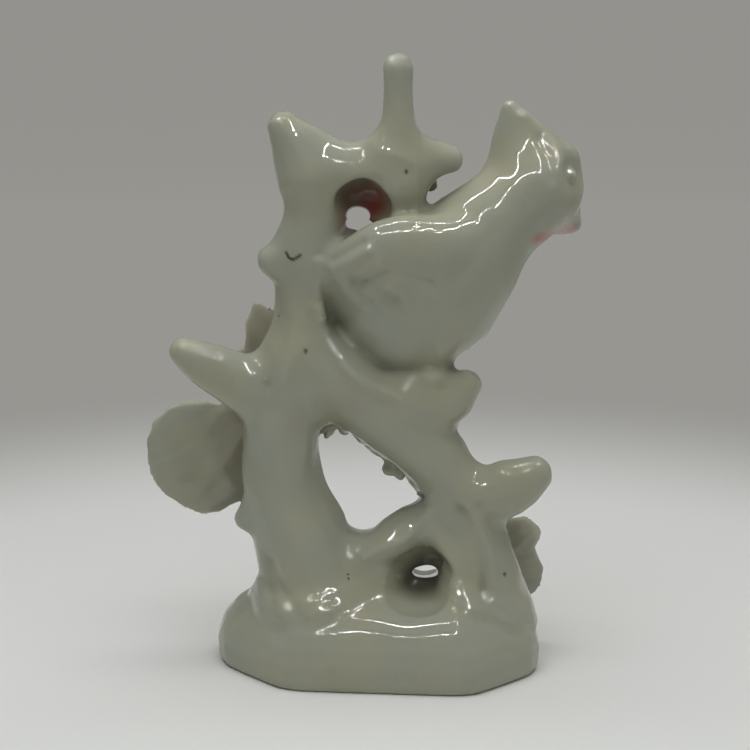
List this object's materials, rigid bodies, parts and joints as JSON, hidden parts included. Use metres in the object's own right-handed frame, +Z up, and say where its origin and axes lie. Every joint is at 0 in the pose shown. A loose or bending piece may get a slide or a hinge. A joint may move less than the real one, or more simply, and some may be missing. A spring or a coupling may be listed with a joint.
{
  "type": "figurine",
  "caption": "Porcelain figurine of a crested songbird perched in the fork of a branch with blossoms and leaves, rising from an octagonal mound; a plain white back and a decorated front.",
  "frame": {"origin": "centre of the octagonal mound's underside, on the surface that it stands on", "axes": "+Z up; +X towards the bird's head; +Y towards the decorated front, so the plain back faces -Y"},
  "size_m": [0.092, 0.0458, 0.127],
  "materials": {
    "glaze": "high gloss clear glaze over white porcelain",
    "red_glaze": "gloss overglaze red",
    "orange_glaze": "gloss overglaze orange",
    "green_glaze": "gloss overglaze green",
    "yellow_glaze": "gloss overglaze yellow"
  },
  "bodies": {
    "root": {"mound": "glaze", "trunk": "glaze", "trunk_top": "glaze", "left_horn": "glaze", "crown_arch": "glaze", "spire": "glaze", "crown_right_stub": "glaze", "crown_web": "glaze", "side_knot": "glaze", "left_stub": "glaze", "trunk_knob": "glaze", "perch": "glaze", "perch_end": "glaze", "prop": "glaze", "right_stub": "glaze", "strut": "glaze", "root_web": "glaze", "root_strand": "glaze", "bird_body": "glaze", "bird_head": "glaze", "bird_crest": "glaze", "bird_beak": "glaze", "bird_near_wing": "glaze", "bird_far_wing": "red_glaze", "bird_tail": "red_glaze", "bird_left_foot": "orange_glaze", "bird_right_foot": "orange_glaze", "trunk_leaf": "green_glaze", "perch_leaf": "green_glaze", "stub_leaf": "green_glaze", "crown_leaf": "green_glaze", "trunk_blossom_button": "yellow_glaze", "trunk_blossom_petal_1": "glaze", "trunk_blossom_petal_2": "glaze", "trunk_blossom_petal_3": "glaze", "trunk_blossom_petal_4": "glaze", "foot_blossom_button": "yellow_glaze", "foot_blossom_petal_1": "glaze", "foot_blossom_petal_2": "glaze", "foot_blossom_petal_3": "glaze", "foot_blossom_petal_4": "glaze", "foot_blossom_petal_5": "glaze"}
  },
  "joints": []
}
